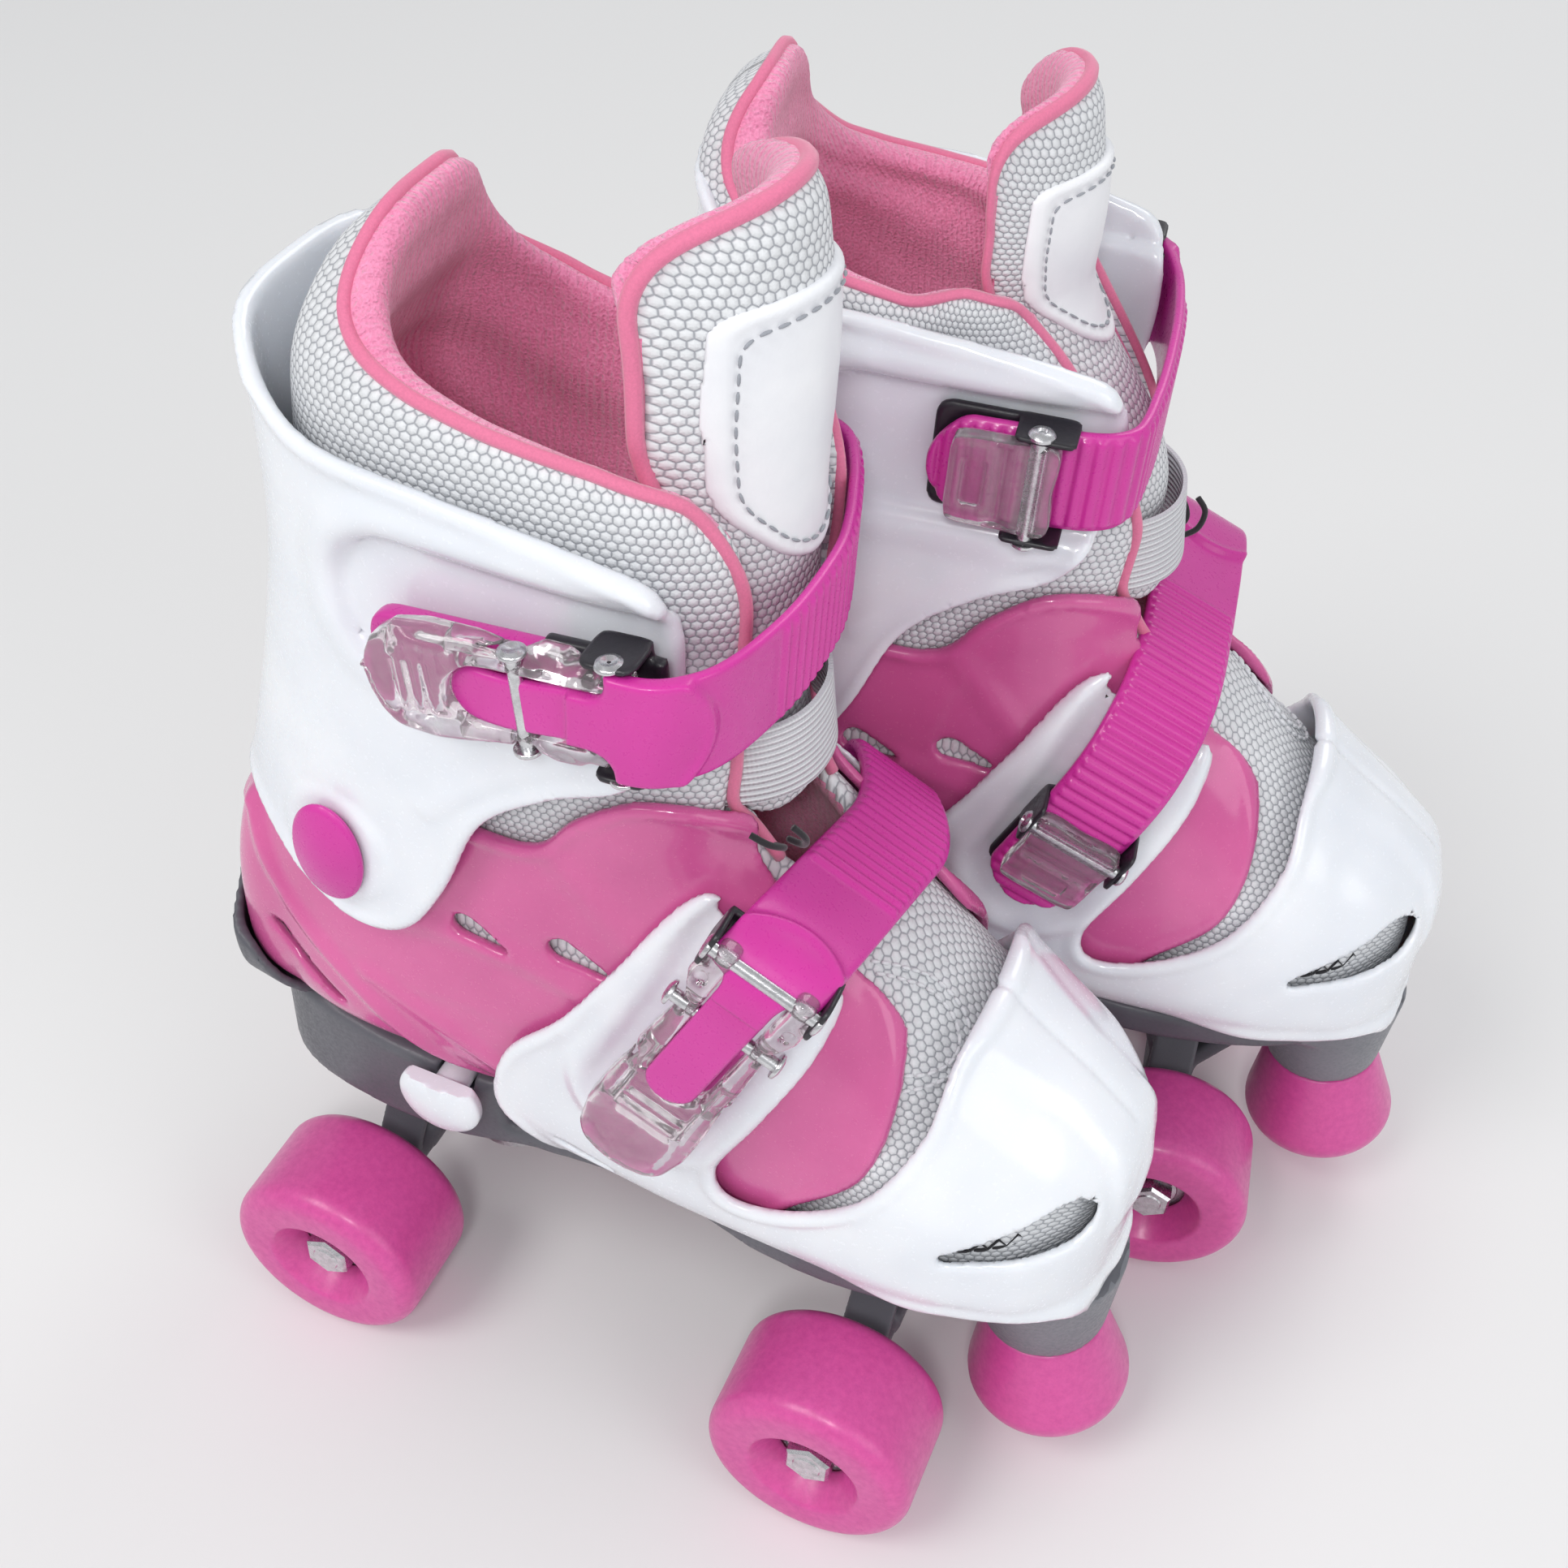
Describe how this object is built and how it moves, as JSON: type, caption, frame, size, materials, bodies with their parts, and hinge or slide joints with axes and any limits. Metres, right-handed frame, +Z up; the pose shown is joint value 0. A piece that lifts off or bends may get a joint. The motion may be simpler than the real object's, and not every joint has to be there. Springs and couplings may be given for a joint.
{
  "type": "pair of quad roller skates",
  "caption": "Adjustable quad roller skates with hinged cuffs, ratchet buckle straps, knitted liners, cushioned trucks and conical toe stops, standing side by side.",
  "frame": {"origin": "on the floor, under the middle of the pair's bounding box", "axes": "+Z up, +X the way the right skate rolls, +Y to its left, towards the left skate"},
  "size_m": [0.2922, 0.2328, 0.326],
  "materials": {
    "chassis_plastic": "fine moulded grain, semi-matt",
    "steel": "zinc plated",
    "cushion": "soft urethane",
    "stop_rubber": "moulded rubber, satin",
    "pink_shell": "glossy moulded",
    "white_shell": "glossy moulded",
    "strap_plastic": "ribbed and satin",
    "liner_mesh": "honeycomb knitted mesh with a terry lining",
    "clear_plastic": "clear polycarbonate",
    "urethane": "cast urethane, satin"
  },
  "bodies": {
    "right_skate": {"right_chassis": "chassis_plastic", "right_heel_shell": "pink_shell", "right_liner_foot": "liner_mesh", "right_inner_rivet": "strap_plastic", "right_outer_rivet": "strap_plastic", "right_front_cushion": "cushion", "right_rear_cushion": "cushion", "right_front_kingpin": "steel", "right_rear_kingpin": "steel", "right_toe_stop": "stop_rubber", "right_toe_stop_bolt": "steel"},
    "right_front_steering": {"right_front_truck": "chassis_plastic", "right_front_axle": "steel"},
    "right_rear_steering": {"right_rear_truck": "chassis_plastic", "right_rear_axle": "steel"},
    "right_toe_part": {"right_toe_shell": "white_shell", "right_instep_strap": "strap_plastic"},
    "right_cuff_part": {"right_cuff": "white_shell", "right_ankle_strap": "strap_plastic", "right_liner_collar": "liner_mesh", "right_tongue": "liner_mesh"},
    "right_ankle_lever_part": {"right_ankle_lever": "clear_plastic"},
    "right_ankle_catch_part": {"right_ankle_catch": "clear_plastic"},
    "right_instep_lever_part": {"right_instep_lever": "clear_plastic"},
    "right_instep_catch_part": {"right_instep_catch": "clear_plastic"},
    "right_size_button_part": {"right_size_button": "white_shell"},
    "right_front_outer_roller": {"right_front_outer_wheel": "urethane"},
    "right_front_inner_roller": {"right_front_inner_wheel": "urethane"},
    "right_rear_outer_roller": {"right_rear_outer_wheel": "urethane"},
    "right_rear_inner_roller": {"right_rear_inner_wheel": "urethane"},
    "left_skate": {"left_chassis": "chassis_plastic", "left_heel_shell": "pink_shell", "left_liner_foot": "liner_mesh", "left_inner_rivet": "strap_plastic", "left_outer_rivet": "strap_plastic", "left_front_cushion": "cushion", "left_rear_cushion": "cushion", "left_front_kingpin": "steel", "left_rear_kingpin": "steel", "left_toe_stop": "stop_rubber", "left_toe_stop_bolt": "steel"},
    "left_front_steering": {"left_front_truck": "chassis_plastic", "left_front_axle": "steel"},
    "left_rear_steering": {"left_rear_truck": "chassis_plastic", "left_rear_axle": "steel"},
    "left_toe_part": {"left_toe_shell": "white_shell", "left_instep_strap": "strap_plastic"},
    "left_cuff_part": {"left_cuff": "white_shell", "left_ankle_strap": "strap_plastic", "left_liner_collar": "liner_mesh", "left_tongue": "liner_mesh"},
    "left_ankle_lever_part": {"left_ankle_lever": "clear_plastic"},
    "left_ankle_catch_part": {"left_ankle_catch": "clear_plastic"},
    "left_instep_lever_part": {"left_instep_lever": "clear_plastic"},
    "left_instep_catch_part": {"left_instep_catch": "clear_plastic"},
    "left_size_button_part": {"left_size_button": "white_shell"},
    "left_front_outer_roller": {"left_front_outer_wheel": "urethane"},
    "left_front_inner_roller": {"left_front_inner_wheel": "urethane"},
    "left_rear_outer_roller": {"left_rear_outer_wheel": "urethane"},
    "left_rear_inner_roller": {"left_rear_inner_wheel": "urethane"}
  },
  "joints": [
    {"name": "right_front_steer", "type": "hinge", "parent": "right_skate", "child": "right_front_steering", "pos_m": [0.04749, -0.05686, 0.06], "axis": [0.9899, 0, 0.1414], "range_deg": [-6, 6], "stiffness_Nm_per_rad": 60},
    {"name": "right_front_outer_spin", "type": "hinge", "parent": "right_front_steering", "child": "right_front_outer_roller", "pos_m": [0.03249, -0.10036, 0.027], "axis": [0, 1, 0], "continuous": true},
    {"name": "right_front_inner_spin", "type": "hinge", "parent": "right_front_steering", "child": "right_front_inner_roller", "pos_m": [0.03249, -0.01336, 0.027], "axis": [0, 1, 0], "continuous": true},
    {"name": "right_rear_steer", "type": "hinge", "parent": "right_skate", "child": "right_rear_steering", "pos_m": [-0.12051, -0.05686, 0.06], "axis": [-0.9899, 0, 0.1414], "range_deg": [-6, 6], "stiffness_Nm_per_rad": 60},
    {"name": "right_rear_outer_spin", "type": "hinge", "parent": "right_rear_steering", "child": "right_rear_outer_roller", "pos_m": [-0.10551, -0.10036, 0.027], "axis": [0, 1, 0], "continuous": true},
    {"name": "right_rear_inner_spin", "type": "hinge", "parent": "right_rear_steering", "child": "right_rear_inner_roller", "pos_m": [-0.10551, -0.01336, 0.027], "axis": [0, 1, 0], "continuous": true},
    {"name": "right_toe_adjust", "type": "slide", "parent": "right_skate", "child": "right_toe_part", "axis": [1, 0, 0], "range_m": [0, 0.02]},
    {"name": "right_cuff_flex", "type": "hinge", "parent": "right_skate", "child": "right_cuff_part", "pos_m": [-0.09551, -0.05686, 0.174], "axis": [0, 1, 0], "range_deg": [-3, 10]},
    {"name": "right_ankle_lever_open", "type": "hinge", "parent": "right_cuff_part", "child": "right_ankle_lever_part", "pos_m": [-0.02261, -0.1077, 0.247], "axis": [0, 0, 1], "range_deg": [0, 100]},
    {"name": "right_instep_lever_open", "type": "hinge", "parent": "right_toe_part", "child": "right_instep_lever_part", "pos_m": [0.00157, -0.1083, 0.17518], "axis": [-0.9135, 0, 0.4067], "range_deg": [0, 100]},
    {"name": "right_ankle_catch_release", "type": "hinge", "parent": "right_cuff_part", "child": "right_ankle_catch_part", "pos_m": [-0.03451, -0.00836, 0.247], "axis": [0, 0, -1], "range_deg": [0, 8], "stiffness_Nm_per_rad": 0.2},
    {"name": "right_instep_catch_release", "type": "hinge", "parent": "right_toe_part", "child": "right_instep_catch_part", "pos_m": [-0.00951, -0.00616, 0.15], "axis": [0.9135, 0, -0.4067], "range_deg": [0, 8], "stiffness_Nm_per_rad": 0.2},
    {"name": "right_size_button_press", "type": "slide", "parent": "right_skate", "child": "right_size_button_part", "axis": [0, 1, 0], "range_m": [0, 0.002], "stiffness_N_per_m": 600},
    {"name": "left_front_steer", "type": "hinge", "parent": "left_skate", "child": "left_front_steering", "pos_m": [0.09496, 0.05679, 0.06], "axis": [-0.9778, -0.1549, -0.1414], "range_deg": [-6, 6], "stiffness_Nm_per_rad": 60},
    {"name": "left_front_outer_spin", "type": "hinge", "parent": "left_front_steering", "child": "left_front_outer_roller", "pos_m": [0.07334, 0.0974, 0.027], "axis": [-0.1564, 0.9877, 0], "continuous": true},
    {"name": "left_front_inner_spin", "type": "hinge", "parent": "left_front_steering", "child": "left_front_inner_roller", "pos_m": [0.08695, 0.01147, 0.027], "axis": [-0.1564, 0.9877, 0], "continuous": true},
    {"name": "left_rear_steer", "type": "hinge", "parent": "left_skate", "child": "left_rear_steering", "pos_m": [-0.07097, 0.0305, 0.06], "axis": [0.9778, 0.1549, -0.1414], "range_deg": [-6, 6], "stiffness_Nm_per_rad": 60},
    {"name": "left_rear_outer_spin", "type": "hinge", "parent": "left_rear_steering", "child": "left_rear_outer_roller", "pos_m": [-0.06296, 0.07581, 0.027], "axis": [-0.1564, 0.9877, 0], "continuous": true},
    {"name": "left_rear_inner_spin", "type": "hinge", "parent": "left_rear_steering", "child": "left_rear_inner_roller", "pos_m": [-0.04935, -0.01011, 0.027], "axis": [-0.1564, 0.9877, 0], "continuous": true},
    {"name": "left_toe_adjust", "type": "slide", "parent": "left_skate", "child": "left_toe_part", "axis": [0.9877, 0.1564, 0], "range_m": [0, 0.02]},
    {"name": "left_cuff_flex", "type": "hinge", "parent": "left_skate", "child": "left_cuff_part", "pos_m": [-0.04628, 0.03442, 0.174], "axis": [-0.1564, 0.9877, 0], "range_deg": [-3, 10]},
    {"name": "left_ankle_lever_open", "type": "hinge", "parent": "left_cuff_part", "child": "left_ankle_lever_part", "pos_m": [0.01777, 0.09604, 0.247], "axis": [0, 0, -1], "range_deg": [0, 100]},
    {"name": "left_instep_lever_open", "type": "hinge", "parent": "left_toe_part", "child": "left_instep_lever_part", "pos_m": [0.04155, 0.10041, 0.17518], "axis": [0.9023, 0.1429, -0.4067], "range_deg": [0, 100]},
    {"name": "left_ankle_catch_release", "type": "hinge", "parent": "left_cuff_part", "child": "left_ankle_catch_part", "pos_m": [0.02155, -0.00395, 0.247], "axis": [0, 0, 1], "range_deg": [0, 8], "stiffness_Nm_per_rad": 0.2},
    {"name": "left_instep_catch_release", "type": "hinge", "parent": "left_toe_part", "child": "left_instep_catch_part", "pos_m": [0.04659, -0.00221, 0.15], "axis": [-0.9023, -0.1429, 0.4067], "range_deg": [0, 8], "stiffness_Nm_per_rad": 0.2},
    {"name": "left_size_button_press", "type": "slide", "parent": "left_skate", "child": "left_size_button_part", "axis": [0.1564, -0.9877, 0], "range_m": [0, 0.002], "stiffness_N_per_m": 600},
    {"name": "pair_spacing", "type": "slide", "parent": "right_skate", "child": "left_skate", "axis": [0, 1, 0], "range_m": [0, 0.12]}
  ]
}
